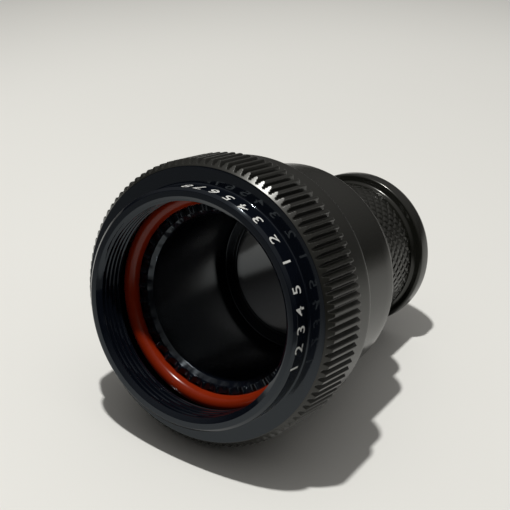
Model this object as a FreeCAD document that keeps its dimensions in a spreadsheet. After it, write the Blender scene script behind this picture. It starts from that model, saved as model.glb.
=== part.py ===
"""Connector backshell: a coupling nut that spins on an adapter body with a shield tail.

The pieces share one axis, +Y. The nut's mouth face is the plane y = 0 and the tail ends at the
largest y. Every outline below is a list of (radius, y) corners, in millimetres, and is turned
about that axis. Each corner is a small sum of names from the sheet of sizes.
"""
import FreeCAD, Part
import Sketcher
import math
import os
import re

SIZES = [
    # Coupling nut, outside
    ("lip_width", 1.34, "wall round the mouth, from the lead-in bevel to the neck"),
    ("lip_chamfer", 0.45, "bevel round the mouth's outer edge"),
    ("neck_length", 3.7, "mouth face to the flat step face"),
    ("rib_length", 9.35, "step face to the rear end of the ribs"),
    ("rib_height", 0.74, "crest of a grip rib above the floor between the ribs"),
    ("floor_rise", 0.24, "floor between the ribs above the smooth rear land"),
    ("rib_sink", 0.22, "foot of a rib below that floor"),
    ("rib_bevel", 1.1, "length of the bevel across the ribs' front ends"),
    ("rib_count", 104, "grip ribs round the nut"),
    ("rib_foot_width", 1.18, "rib width at its foot"),
    ("rib_crest_width", 0.38, "rib width at its crest"),
    ("nut_wall", 1.0, "wall outside the retaining ring's groove"),
    ("rear_skirt", 2.18, "nut behind the retaining ring's groove"),
    ("land_chamfer", 0.35, "bevel round the nut's rear edge"),
    # Coupling nut, inside
    ("thread_rise", 1.46, "thread crests outside the collar"),
    ("lead_in", 0.5, "depth of the lead-in bevel"),
    ("lead_in_width", 0.8, "lead-in bevel along the radius"),
    ("thread_depth", 0.55, "crest to root"),
    ("thread_pitch", 1.0, "turn to turn"),
    ("thread_turns", 5, "number of crests"),
    ("crest_width", 0.25, "flat on each crest"),
    ("root_width", 0.125, "flat in each root"),
    ("track_depth", 0.45, "ball track below the nut's bore"),
    ("track_width", 2.0, "ball track along the axis"),
    ("notch_count", 36, "detent notches in the ball track"),
    ("notch_radius", 0.7, "round end of a detent notch"),
    ("notch_depth", 0.2, "notch below the track's floor"),
    # Adapter body
    ("body_bore_radius", 13.2, "long smooth bore"),
    ("collar_counterbore", 0.7, "wider bore at the collar's teeth"),
    ("collar_wall", 1.1, "collar inside the seal"),
    ("collar_height", 1.1, "collar in front of the shoulder"),
    ("collar_step", 1.4, "tooth tips to the start of the long bore"),
    ("tooth_count", 36, "interlocking teeth on the collar"),
    ("tooth_height", 0.8, "tooth tip to root"),
    ("shoulder_width", 3.2, "shoulder along the axis"),
    ("shoulder_margin", 1.74, "shoulder outside the interface seal"),
    ("shoulder_height", 1.18, "shoulder outside the barrel"),
    ("barrel_length", 14.3, "barrel behind the nut"),
    ("rim_fillet", 0.8, "round on the barrel's rear rim"),
    ("rear_wall", 1.8, "barrel's rear wall in front of the barrel's end"),
    ("boss_wall", 3.5, "boss outside the tail's spigot"),
    ("boss_length", 5.5, "boss behind the barrel"),
    ("boss_chamfer", 0.4, "bevel round the boss's rear edge"),
    # Seals
    ("seal_section", 1.28, "section radius of the interface seal"),
    ("seal_room", 1.64, "free length in front of the interface seal"),
    ("dust_section", 0.75, "section radius of the dust seal"),
    ("dust_groove_depth", 0.37, "dust seal's groove in the barrel"),
    ("dust_inset", 1.05, "nut's rear face to the middle of the dust seal"),
    # Nut retention
    ("slip_thickness", 0.4, "each slip washer"),
    ("wave_height", 1.4, "room for the wave spring"),
    ("wave_thickness", 0.25, "strip of the wave spring"),
    ("wave_count", 4, "waves round the spring"),
    ("ring_thickness", 1.0, "retaining ring along the axis"),
    ("ring_bite", 0.8, "retaining ring's reach into the nut's wall"),
    ("ring_gap", 24.0, "open angle of the retaining ring, degrees"),
    ("plier_hole_radius", 0.45, "holes by the retaining ring's ends"),
    ("plier_hole_angle", 7.0, "from a ring end to its hole, degrees"),
    # Detents
    ("ball_radius", 1.0, "detent ball"),
    ("ball_bore_depth", 3.7, "radial bore below the shoulder's surface"),
    ("detent_wire", 0.15, "wire radius of a detent spring"),
    ("detent_pitch", 0.62, "turn to turn of a detent spring"),
    # Tail
    ("tail_bore_radius", 10.95, "bore that the cable leaves through"),
    ("spigot_wall", 0.65, "wall of the spigot pressed into the body"),
    ("tail_wall", 1.1, "wall to the crests of the tail's diamond knurl"),
    ("tail_length", 17.4, "boss to the tail's rear face"),
    ("bore_chamfer", 0.3, "bevels at both ends of the tail's bore"),
    ("tail_lip_height", 1.52, "rolled lip outside the knurl, to hold a shield band on"),
    ("tail_lip_width", 3.3, "lip along the axis"),
    ("tail_lip_round", 0.95, "round on the lip's outer edges"),
    ("tail_lip_blend", 0.7, "hollow between knurl and lip"),
    # Clearances
    ("running_clearance", 0.1, "radial, between the nut and the body's shoulder"),
    ("seal_clearance", 1.29, "radial, between the interface seal and the nut"),
    ("wipe_clearance", 0.15, "radial, between the dust seal and the nut"),
    ("side_clearance", 0.08, "axial, between pieces that turn past each other"),
    ("ring_clearance", 0.1, "retaining ring to its groove's floor"),
    ("ball_clearance", 0.1, "ball to its bore, and ball to the track's floor"),
    ("washer_clearance", 0.08, "radial, washers to the barrel and the nut"),
    ("wave_slack", 0.02, "axial, wave spring to each slip washer"),
    ("spring_gap", 0.03, "detent spring to its ball and to its bore's floor"),
    ("cut_overrun", 0.5, "how far a cut runs past the metal"),
]

BALLS = 3
POINTS_PER_WAVE = 24
TURN = 360.0

# Radii that follow from the sheet, from the bore outwards
COLLAR_BORE = "body_bore_radius + collar_counterbore"
COLLAR_RADIUS = COLLAR_BORE + " + collar_wall"
SEAL_RADIUS = COLLAR_RADIUS + " + seal_section"
SEAL_OUTER = SEAL_RADIUS + " + seal_section"
SHOULDER_RADIUS = SEAL_OUTER + " + shoulder_margin"
BARREL_RADIUS = SHOULDER_RADIUS + " - shoulder_height"
NUT_BORE = SHOULDER_RADIUS + " + running_clearance"
RELIEF_RADIUS = SEAL_OUTER + " + seal_clearance"
THREAD_RADIUS = COLLAR_RADIUS + " + thread_rise"
MOUTH_RADIUS = THREAD_RADIUS + " + lead_in_width"
NECK_RADIUS = MOUTH_RADIUS + " + lip_width"
RING_OUTER = NUT_BORE + " + ring_bite"
GROOVE_FLOOR = RING_OUTER + " + ring_clearance"
LAND_RADIUS = GROOVE_FLOOR + " + nut_wall"
RIB_FLOOR = LAND_RADIUS + " + floor_rise"
RIB_CREST = RIB_FLOOR + " + rib_height"
WASHER_INNER = BARREL_RADIUS + " + washer_clearance"
WASHER_OUTER = NUT_BORE + " - washer_clearance"
DUST_FLOOR = BARREL_RADIUS + " - dust_groove_depth"
DUST_RADIUS = NUT_BORE + " - wipe_clearance - dust_section"
TRACK_FLOOR = NUT_BORE + " + track_depth"
BALL_CENTRE = TRACK_FLOOR + " - ball_clearance - ball_radius"
BALL_BORE_FLOOR = SHOULDER_RADIUS + " - ball_bore_depth"
SPIGOT_RADIUS = "tail_bore_radius + spigot_wall"
BOSS_RADIUS = SPIGOT_RADIUS + " + boss_wall"
TAIL_RADIUS = "tail_bore_radius + tail_wall"
LIP_RADIUS = TAIL_RADIUS + " + tail_lip_height"

# Places along the axis, from the mouth backwards
RELIEF_FRONT = "lead_in + thread_pitch * (thread_turns - 0.5)"
SHOULDER_FRONT = RELIEF_FRONT + " + seal_room + 2 * seal_section"
BORE_FRONT = SHOULDER_FRONT + " - 4 * side_clearance"
TOOTH_TIP = SHOULDER_FRONT + " - collar_height"
SHOULDER_REAR = SHOULDER_FRONT + " + shoulder_width"
SHOULDER_MIDDLE = SHOULDER_FRONT + " + shoulder_width / 2"
FRONT_WASHER_REAR = SHOULDER_REAR + " + slip_thickness"
WAVE_REAR = FRONT_WASHER_REAR + " + wave_height"
REAR_WASHER_REAR = WAVE_REAR + " + slip_thickness"
RING_FRONT = REAR_WASHER_REAR + " + side_clearance"
RING_REAR = RING_FRONT + " + ring_thickness"
RIB_END = "neck_length + rib_length"
NUT_END = RING_REAR + " + side_clearance / 2 + rear_skirt"
DUST_MIDDLE = NUT_END + " - dust_inset"
BARREL_END = NUT_END + " + barrel_length"
WALL_FRONT = BARREL_END + " - rear_wall"
BOSS_END = BARREL_END + " + boss_length"
TAIL_END = BOSS_END + " + tail_length"
LIP_FRONT = TAIL_END + " - tail_lip_width"

doc = FreeCAD.newDocument("backshell")
sheet = doc.addObject("Spreadsheet::Sheet", "sizes")
for row, (alias, number, meaning) in enumerate(SIZES, start=1):
    sheet.set(f"A{row}", alias)
    sheet.set(f"B{row}", str(number))
    sheet.set(f"C{row}", meaning)
    sheet.setAlias(f"B{row}", alias)
doc.recompute()

PIECES = []


def bound(text):
    """A sum of size names as an expression on the sheet."""
    return re.sub(r"\b[a-z]\w+\b(?!\()", lambda name: "sizes." + name.group(0), text)


def value(text):
    """What that sum comes to now, in millimetres or degrees."""
    return float(sheet.evalExpression(bound(text)))


def keep(piece, label):
    """Name a finished sub-part, which also names its file."""
    piece.Label = label
    PIECES.append(piece)
    return piece


def new_body(label):
    return keep(doc.addObject("PartDesign::Body", label), label)


def origin_part(body, role):
    return next(part for part in body.Origin.OriginFeatures if part.Role == role)


def sketch_on(body, role, name, offset=None):
    """An empty sketch on one of the body's own planes, set off along the plane's normal."""
    sketch = body.newObject("Sketcher::SketchObject", name)
    sketch.AttachmentSupport = (origin_part(body, role), [""])
    sketch.MapMode = "FlatFace"
    if offset:
        sketch.setExpression("AttachmentOffset.Base.z", bound(offset))
    return sketch


def draw_outline(sketch, corners):
    """A closed outline of straight sides whose corners are each held by two bound dimensions."""
    points = [FreeCAD.Vector(value(across), value(up), 0) for across, up in corners]
    count = len(points)
    for index, start in enumerate(points):
        sketch.addGeometry(Part.LineSegment(start, points[(index + 1) % count]), False)
    for index in range(count):
        sketch.addConstraint(Sketcher.Constraint("Coincident", index, 2, (index + 1) % count, 1))
    for index, (across, up) in enumerate(corners):
        point = points[index]
        for kind, text, size in (("DistanceX", across, point.x), ("DistanceY", up, point.y)):
            held = sketch.addConstraint(Sketcher.Constraint(kind, -1, 1, index, 1, size))
            sketch.setExpression(f"Constraints[{held}]", bound(text))


def draw_circle(sketch, across, up, radius):
    centre = FreeCAD.Vector(value(across), value(up), 0)
    index = sketch.addGeometry(Part.Circle(centre, FreeCAD.Vector(0, 0, 1), value(radius)), False)
    for kind, text, size in (("DistanceX", across, centre.x), ("DistanceY", up, centre.y)):
        held = sketch.addConstraint(Sketcher.Constraint(kind, -1, 1, index, 3, size))
        sketch.setExpression(f"Constraints[{held}]", bound(text))
    held = sketch.addConstraint(Sketcher.Constraint("Radius", index, value(radius)))
    sketch.setExpression(f"Constraints[{held}]", bound(radius))


def turned(body, corners, cut=False, angle=None):
    """Turn an outline about the axis, as new metal or as a cut."""
    number = len(body.Group)
    sketch = sketch_on(body, "XY_Plane", f"{body.Name}_outline_{number}")
    draw_outline(sketch, corners)
    kind = "PartDesign::Groove" if cut else "PartDesign::Revolution"
    feature = body.newObject(kind, f"{body.Name}_turned_{number}")
    feature.Profile = sketch
    feature.ReferenceAxis = (sketch, ["V_Axis"])
    if angle:
        feature.setExpression("Angle", bound(angle))
    else:
        feature.Angle = TURN
    body.Tip = feature
    doc.recompute()
    return feature


def extruded(body, sketch, length, cut, backwards=False):
    kind = "PartDesign::Pocket" if cut else "PartDesign::Pad"
    feature = body.newObject(kind, f"{sketch.Name}_{'cut' if cut else 'pad'}")
    feature.Profile = sketch
    feature.Type = 0
    feature.setExpression("Length", bound(length))
    feature.Reversed = backwards
    body.Tip = feature
    doc.recompute()
    return feature


def repeated(body, feature, count):
    """Copies of a feature spaced evenly round the axis."""
    pattern = body.newObject("PartDesign::PolarPattern", f"{feature.Name}_pattern")
    pattern.Originals = [feature]
    pattern.Axis = (origin_part(body, "Y_Axis"), [""])
    pattern.Angle = TURN
    if isinstance(count, str):
        pattern.setExpression("Occurrences", bound(count))
    else:
        pattern.Occurrences = count
    body.Tip = pattern
    doc.recompute()
    return pattern


def ring_edge(shape, radius, along):
    """The name of the circular edge with this radius at this place along the axis."""
    for index, edge in enumerate(shape.Edges, start=1):
        curve = edge.Curve
        if isinstance(curve, Part.Circle) and edge.Closed:
            if abs(curve.Radius - radius) < 1e-4 and abs(curve.Center.y - along) < 1e-4:
                return f"Edge{index}"
    raise RuntimeError(f"no round edge of radius {radius} at {along}")


def rounded(body, places, radius):
    """Fillet the circular edges at these (radius, y) places."""
    base = body.Tip
    edges = [ring_edge(base.Shape, value(across), value(up)) for across, up in places]
    fillet = body.newObject("PartDesign::Fillet", f"{body.Name}_fillet_{len(body.Group)}")
    fillet.Base = (base, edges)
    fillet.setExpression("Radius", bound(radius))
    body.Tip = fillet
    doc.recompute()
    return fillet


def thread_corners():
    """The nut's bore from its mouth inwards: lead-in bevel, then one crest and root per turn."""
    corners = [(MOUTH_RADIUS, "0")]
    flank = "(thread_pitch - crest_width - root_width) / 2"
    root = THREAD_RADIUS + " + thread_depth"
    turns = int(value("thread_turns"))
    for turn in range(turns):
        crest = f"lead_in + thread_pitch * {turn}"
        corners.append((THREAD_RADIUS, crest))
        corners.append((THREAD_RADIUS, f"{crest} + crest_width"))
        if turn < turns - 1:
            corners.append((root, f"{crest} + crest_width + {flank}"))
            corners.append((root, f"{crest} + crest_width + {flank} + root_width"))
    return corners


def make_coupling_nut():
    body = new_body("coupling_nut")
    inside = thread_corners() + [
        (THREAD_RADIUS + " + crest_width / 2", RELIEF_FRONT),
        (RELIEF_RADIUS, RELIEF_FRONT),
        (RELIEF_RADIUS, BORE_FRONT),
        (NUT_BORE, BORE_FRONT),
        (NUT_BORE, RING_FRONT + " - side_clearance / 2"),
        (GROOVE_FLOOR, RING_FRONT + " - side_clearance / 2"),
        (GROOVE_FLOOR, RING_REAR + " + side_clearance / 2"),
        (NUT_BORE, RING_REAR + " + side_clearance / 2"),
        (NUT_BORE, NUT_END),
    ]
    outside = [
        (LAND_RADIUS + " - land_chamfer", NUT_END),
        (LAND_RADIUS, NUT_END + " - land_chamfer"),
        (LAND_RADIUS, RIB_END),
        (RIB_FLOOR, RIB_END),
        (RIB_FLOOR, "neck_length"),
        (NECK_RADIUS, "neck_length"),
        (NECK_RADIUS, "lip_chamfer"),
        (NECK_RADIUS + " - lip_chamfer", "0"),
    ]
    turned(body, inside + outside)
    make_ball_track(body)
    make_grip_ribs(body)


def make_ball_track(body):
    """The groove that the detent balls run in, with a notch for each click."""
    front = SHOULDER_MIDDLE + " - track_width / 2"
    rear = SHOULDER_MIDDLE + " + track_width / 2"
    sunk = NUT_BORE + " - track_depth"
    turned(body, [(sunk, front), (TRACK_FLOOR, front), (TRACK_FLOOR, rear), (sunk, rear)], cut=True)
    sketch = sketch_on(body, "XZ_Plane", "detent_notch", "-(" + front + ")")
    draw_circle(sketch, "0", TRACK_FLOOR + " + notch_depth - notch_radius", "notch_radius")
    notch = extruded(body, sketch, "track_width", cut=True)
    repeated(body, notch, "notch_count")


def make_grip_ribs(body):
    """Straight ribs, bevelled with their floor down to the step face at their front ends."""
    foot = RIB_FLOOR + " - rib_sink"
    sketch = sketch_on(body, "XZ_Plane", "grip_rib", "-neck_length")
    draw_outline(sketch, [
        ("0 - rib_foot_width / 2", foot),
        ("rib_foot_width / 2", foot),
        ("rib_crest_width / 2", RIB_CREST),
        ("0 - rib_crest_width / 2", RIB_CREST),
    ])
    rib = extruded(body, sketch, "rib_length", cut=False, backwards=True)
    repeated(body, rib, "rib_count")
    beyond = RIB_CREST + " + floor_rise + rib_height"
    turned(body, [
        (LAND_RADIUS, "neck_length"),
        (beyond, "neck_length + 2 * rib_bevel"),
        (beyond, "neck_length"),
    ], cut=True)


def make_adapter_body():
    body = new_body("adapter_body")
    step_end = TOOTH_TIP + " + collar_step"
    turned(body, [
        (COLLAR_BORE, TOOTH_TIP),
        (COLLAR_RADIUS, TOOTH_TIP),
        (COLLAR_RADIUS, SHOULDER_FRONT),
        (SHOULDER_RADIUS, SHOULDER_FRONT),
        (SHOULDER_RADIUS, SHOULDER_REAR),
        (BARREL_RADIUS, SHOULDER_REAR),
        (BARREL_RADIUS, DUST_MIDDLE + " - dust_section"),
        (DUST_FLOOR, DUST_MIDDLE + " - dust_section"),
        (DUST_FLOOR, DUST_MIDDLE + " + dust_section"),
        (BARREL_RADIUS, DUST_MIDDLE + " + dust_section"),
        (BARREL_RADIUS, BARREL_END),
        (BOSS_RADIUS, BARREL_END),
        (BOSS_RADIUS, BOSS_END + " - boss_chamfer"),
        (BOSS_RADIUS + " - boss_chamfer", BOSS_END),
        (SPIGOT_RADIUS, BOSS_END),
        (SPIGOT_RADIUS, WALL_FRONT),
        ("body_bore_radius", WALL_FRONT),
        ("body_bore_radius", step_end),
        (COLLAR_BORE, step_end + " - collar_counterbore"),
    ])
    rounded(body, [(BARREL_RADIUS, BARREL_END)], "rim_fillet")
    cut_tooth_gaps(body)
    sketch = sketch_on(body, "XY_Plane", "ball_bore", BALL_BORE_FLOOR)
    draw_circle(sketch, "0", SHOULDER_MIDDLE, "ball_radius + ball_clearance")
    bore = extruded(body, sketch, "ball_bore_depth + cut_overrun", cut=True, backwards=True)
    repeated(body, bore, BALLS)


def cut_tooth_gaps(body):
    """V-shaped gaps in the collar's front face, which leave the interlocking teeth between them."""
    half_gap = f"({COLLAR_RADIUS}) * tan(90deg / tooth_count)"
    above = TOOTH_TIP + " - cut_overrun"
    sketch = sketch_on(body, "XY_Plane", "tooth_gap", COLLAR_BORE + " - cut_overrun")
    draw_outline(sketch, [
        ("0 - " + half_gap, TOOTH_TIP),
        ("0 - " + half_gap, above),
        (half_gap, above),
        (half_gap, TOOTH_TIP),
        ("0", TOOTH_TIP + " + tooth_height"),
    ])
    gap = extruded(body, sketch, "collar_wall + 2 * cut_overrun", cut=True, backwards=True)
    repeated(body, gap, "tooth_count")


def make_tail():
    """The cable's way out: a spigot in the body's boss, a knurled sleeve and a rolled lip."""
    body = new_body("shield_tail")
    turned(body, [
        ("tail_bore_radius + bore_chamfer", WALL_FRONT),
        (SPIGOT_RADIUS, WALL_FRONT),
        (SPIGOT_RADIUS, BOSS_END),
        (TAIL_RADIUS, BOSS_END),
        (TAIL_RADIUS, LIP_FRONT + " - 2 * tail_lip_blend"),
        (TAIL_RADIUS + " - tail_lip_blend / 4", LIP_FRONT + " - tail_lip_blend"),
        (TAIL_RADIUS, LIP_FRONT),
        (LIP_RADIUS, LIP_FRONT),
        (LIP_RADIUS, TAIL_END),
        ("tail_bore_radius + bore_chamfer", TAIL_END),
        ("tail_bore_radius", TAIL_END + " - bore_chamfer"),
        ("tail_bore_radius", WALL_FRONT + " + bore_chamfer"),
    ])
    rounded(body, [(LIP_RADIUS, LIP_FRONT), (LIP_RADIUS, TAIL_END)], "tail_lip_round")


def make_seal(label, radius, section, along):
    """A round-section ring about the axis."""
    seal = doc.addObject("Part::Torus", label)
    seal.setExpression("Radius1", bound(radius))
    seal.setExpression("Radius2", bound(section))
    seal.Placement = FreeCAD.Placement(FreeCAD.Vector(), FreeCAD.Rotation(FreeCAD.Vector(1, 0, 0), 90))
    seal.setExpression("Placement.Base.y", bound(along))
    keep(seal, label)


def make_washer(label, front, rear):
    body = new_body(label)
    turned(body, [
        (WASHER_INNER, front),
        (WASHER_OUTER, front),
        (WASHER_OUTER, rear),
        (WASHER_INNER, rear),
    ])


def make_retaining_ring():
    """A spring ring in the nut's groove, open at the top, with a plier hole by each end."""
    body = new_body("retaining_ring")
    inner = BARREL_RADIUS + " + 2 * ring_clearance"
    turned(body, [
        (inner, RING_FRONT),
        (RING_OUTER, RING_FRONT),
        (RING_OUTER, RING_REAR),
        (inner, RING_REAR),
    ], angle="360 - ring_gap")
    body.Placement.Rotation = FreeCAD.Rotation(FreeCAD.Vector(0, 1, 0), -90 - value("ring_gap") / 2)
    middle = f"(({inner}) + ({RING_OUTER})) / 2"
    sketch = sketch_on(body, "XZ_Plane", "plier_holes", "-(" + RING_FRONT + " - cut_overrun)")
    for angle in ("0 - plier_hole_angle", "ring_gap + plier_hole_angle"):
        across = f"{middle} * cos(({angle}) * 1deg)"
        up = f"{middle} * sin(({angle}) * 1deg)"
        draw_circle(sketch, across, up, "plier_hole_radius")
    extruded(body, sketch, "ring_thickness + 2 * cut_overrun", cut=True)


def make_wave_spring():
    """A strip wound once round the axis, waved along it, that takes up the nut's slack."""
    inner = value(WASHER_INNER)
    outer = value(WASHER_OUTER)
    thickness = value("wave_thickness")
    swing = (value("wave_height") - thickness) / 2 - value("wave_slack")
    middle = value(FRONT_WASHER_REAR) + value("wave_height") / 2
    waves = int(value("wave_count"))
    steps = POINTS_PER_WAVE * waves

    def edge(radius, along):
        points = []
        for step in range(steps):
            turn = 2 * math.pi * step / steps
            height = along + swing * math.cos(waves * turn)
            points.append(FreeCAD.Vector(radius * math.cos(turn), height, radius * math.sin(turn)))
        curve = Part.BSplineCurve()
        curve.interpolate(points, PeriodicFlag=True)
        return curve.toShape()

    loops = [edge(radius, middle + side * thickness / 2)
             for radius, side in ((inner, -1), (outer, -1), (outer, 1), (inner, 1))]
    faces = [Part.makeRuledSurface(loops[index], loops[(index + 1) % 4]) for index in range(4)]
    strip = Part.Solid(Part.Shell([face for shell in faces for face in shell.Faces]))
    if strip.Volume < 0:
        strip.reverse()
    spring = doc.addObject("Part::Feature", "wave_spring")
    spring.Shape = strip
    keep(spring, "wave_spring")


def place_on_radius(piece, angle, radius, along):
    """Set a piece at this angle from the top, its own +Z pointing outwards."""
    piece.Placement.Rotation = FreeCAD.Rotation(FreeCAD.Vector(0, 1, 0), angle)
    piece.setExpression("Placement.Base.x", bound(f"({radius}) * sin({angle}deg)"))
    piece.setExpression("Placement.Base.y", bound(along))
    piece.setExpression("Placement.Base.z", bound(f"({radius}) * cos({angle}deg)"))


def make_detent(number, angle):
    """One ball and the coil spring behind it, in a radial bore of the shoulder."""
    ball = doc.addObject("Part::Sphere", f"detent_ball_{number}")
    ball.setExpression("Radius", bound("ball_radius"))
    place_on_radius(ball, angle, BALL_CENTRE, SHOULDER_MIDDLE)
    keep(ball, f"detent_ball_{number}")

    coil_radius = "ball_radius - 2 * detent_wire"
    helix = doc.addObject("Part::Helix", f"detent_helix_{number}")
    helix.setExpression("Radius", bound(coil_radius))
    helix.setExpression("Pitch", bound("detent_pitch"))
    room = f"({BALL_CENTRE}) - ({BALL_BORE_FLOOR})"
    seat = f"sqrt((ball_radius + detent_wire) ^ 2 - ({coil_radius}) ^ 2)"
    helix.setExpression("Height", bound(f"{room} - {seat} - detent_wire - 2 * spring_gap"))
    wire = doc.addObject("Part::Circle", f"detent_wire_{number}")
    wire.setExpression("Radius", bound("detent_wire"))
    wire.setExpression("Placement.Base.x", bound(coil_radius))
    wire.Placement.Rotation = FreeCAD.Rotation(FreeCAD.Vector(1, 0, 0), 90)
    doc.recompute()
    spring = doc.addObject("Part::Sweep", f"detent_spring_{number}")
    spring.Sections = [wire]
    spring.Spine = (helix, [f"Edge{index}" for index in range(1, len(helix.Shape.Edges) + 1)])
    spring.Solid = True
    spring.Frenet = True
    place_on_radius(spring, angle, BALL_BORE_FLOOR + " + detent_wire + spring_gap", SHOULDER_MIDDLE)
    keep(spring, f"detent_spring_{number}")


def check_pieces():
    """Stop before anything is written if an object failed or a piece has no sound solid."""
    doc.recompute()
    for item in doc.Objects:
        if "Invalid" in item.State or "Error" in item.State:
            raise RuntimeError(f"{item.Name} did not build: {item.State}")
    for piece in PIECES:
        shape = piece.Shape
        if shape.isNull() or not shape.isValid() or not shape.Solids:
            raise RuntimeError(f"{piece.Label} has no valid solid")


make_coupling_nut()
make_adapter_body()
make_tail()
make_seal("interface_seal", SEAL_RADIUS, "seal_section", SHOULDER_FRONT + " - seal_section")
make_seal("dust_seal", DUST_RADIUS, "dust_section", DUST_MIDDLE)
make_washer("front_slip_washer", SHOULDER_REAR, FRONT_WASHER_REAR)
make_wave_spring()
make_washer("rear_slip_washer", WAVE_REAR, REAR_WASHER_REAR)
make_retaining_ring()
for detent in range(BALLS):
    make_detent(detent + 1, round(TURN / BALLS * detent))
check_pieces()

os.makedirs("parts", exist_ok=True)
for piece in PIECES:
    piece.Shape.exportStep(os.path.join("parts", piece.Label + ".step"))
    box = piece.Shape.BoundBox
    print(f"{piece.Label:20s} {len(piece.Shape.Solids)} solid  volume {piece.Shape.Volume:9.2f}"
          f"  y {box.YMin:7.3f} to {box.YMax:7.3f}  radius {box.XMax:7.3f}")
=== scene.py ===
"""Dress a circular connector backshell for its portrait.

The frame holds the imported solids. Every piece below turns about the frame's +Y axis, which runs
from the coupling nut's mouth, at y = 0, to the end of the shield tail. Lengths are in metres.
"""

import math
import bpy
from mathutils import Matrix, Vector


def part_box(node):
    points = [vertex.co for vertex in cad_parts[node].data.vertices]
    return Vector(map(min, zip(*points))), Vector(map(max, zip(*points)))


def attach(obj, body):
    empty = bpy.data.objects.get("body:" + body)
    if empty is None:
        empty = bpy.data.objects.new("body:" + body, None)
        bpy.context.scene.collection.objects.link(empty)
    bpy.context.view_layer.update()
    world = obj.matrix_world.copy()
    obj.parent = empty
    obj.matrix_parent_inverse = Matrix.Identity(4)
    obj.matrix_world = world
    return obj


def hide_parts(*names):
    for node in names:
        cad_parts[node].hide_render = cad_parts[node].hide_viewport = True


bl_info = {
    "name": "Connector Backshell",
    "version": (1, 0, 0),
    "blender": (4, 5, 0),
    "location": "View3D > Sidebar > Backshell",
    "description": "Builds the coupling nut, body, shield tail, seals and marking of a cable backshell",
    "category": "Add Mesh",
}

import bmesh
import bpy
from bpy.props import FloatProperty, FloatVectorProperty, IntProperty, PointerProperty
from mathutils import Matrix, Vector

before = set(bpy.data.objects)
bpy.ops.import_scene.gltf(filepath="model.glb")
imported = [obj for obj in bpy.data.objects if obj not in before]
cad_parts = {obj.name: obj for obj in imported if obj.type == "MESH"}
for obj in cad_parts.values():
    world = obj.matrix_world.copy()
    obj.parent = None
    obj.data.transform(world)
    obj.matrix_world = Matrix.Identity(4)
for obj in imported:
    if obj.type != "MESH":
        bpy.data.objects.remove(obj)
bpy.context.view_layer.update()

MM = 0.001

# Gap beside a piece that turns or slides, and the gap at each side of the retaining ring
RUNNING_PLAY = 0.1 * MM
RING_PLAY = 0.04 * MM

NUT_LOW, NUT_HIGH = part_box("coupling_nut")
BODY_LOW, BODY_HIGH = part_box("adapter_body")
TAIL_LOW, TAIL_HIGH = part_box("shield_tail")
SEAL_LOW, SEAL_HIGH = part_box("interface_seal")
RING_LOW, RING_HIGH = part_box("retaining_ring")
BALL_LOW, BALL_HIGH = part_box("detent_ball_1")
FRONT_WASHER_LOW, FRONT_WASHER_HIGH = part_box("front_slip_washer")
DUST_LOW, DUST_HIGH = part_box("dust_seal")


def length(name, description, default):
    return FloatProperty(
        name=name, description=description, default=default, min=0.0, unit="LENGTH", precision=5)


def colour(name, description, default):
    return FloatVectorProperty(
        name=name, description=description, default=default, size=3, min=0.0, max=1.0, subtype="COLOR")


class NutSizes(bpy.types.PropertyGroup):
    """Coupling nut, with the sizes of its solid."""

    end: length("Length", "Mouth face to the nut's rear face", NUT_HIGH.y)
    rib_crest: length("Rib crest radius", "Tops of the grip ribs", NUT_HIGH.z)
    rib_height: length("Rib height", "Rib crest above the floor between the ribs", 0.74 * MM)
    floor_rise: length("Floor rise", "Floor between the ribs above the smooth rear land", 0.24 * MM)
    rib_end: length("Rib end", "Mouth face to the rear end of the ribs", 13.05 * MM)
    rib_bevel: length("Rib bevel", "Length of the bevel over the ribs' front ends", 1.1 * MM)
    rib_count: IntProperty(name="Ribs", description="Grip ribs round the nut", default=104, min=12)
    neck_radius: length("Neck radius", "Smooth band that carries the numerals", 18.6 * MM)
    neck_length: length("Neck length", "Mouth face to the flat step face", 3.7 * MM)
    lip_bevel: length("Lip bevel", "Bevel round the mouth's outer edge", 0.45 * MM)
    mouth_radius: length("Mouth radius", "Start of the thread's lead-in", 17.26 * MM)
    lead_in: length("Lead-in", "Depth of the bevel before the thread", 0.5 * MM)
    thread_radius: length("Thread radius", "Crests of the thread", 16.46 * MM)
    thread_depth: length("Thread depth", "Crest to root", 0.55 * MM)
    thread_pitch: length("Thread pitch", "Turn to turn", 1.0 * MM)
    thread_end: length("Thread end", "Mouth face to the end of the thread", 5.0 * MM)
    relief_radius: length("Relief radius", "Room round the interface seal", 18.85 * MM)
    bore_front: length("Bore front", "Mouth face to the start of the running bore", 8.88 * MM)
    bore_radius: length("Bore radius", "Bore that the body's shoulder runs in", BODY_HIGH.x + RUNNING_PLAY)
    track_floor: length("Track floor", "Floor of the detent balls' track", BALL_HIGH.z + RUNNING_PLAY)
    notch_depth: length("Notch depth", "Detent notches below the track's floor", 0.2 * MM)
    notch_count: IntProperty(name="Notches", description="Detent clicks in one turn", default=36, min=1)


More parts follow.
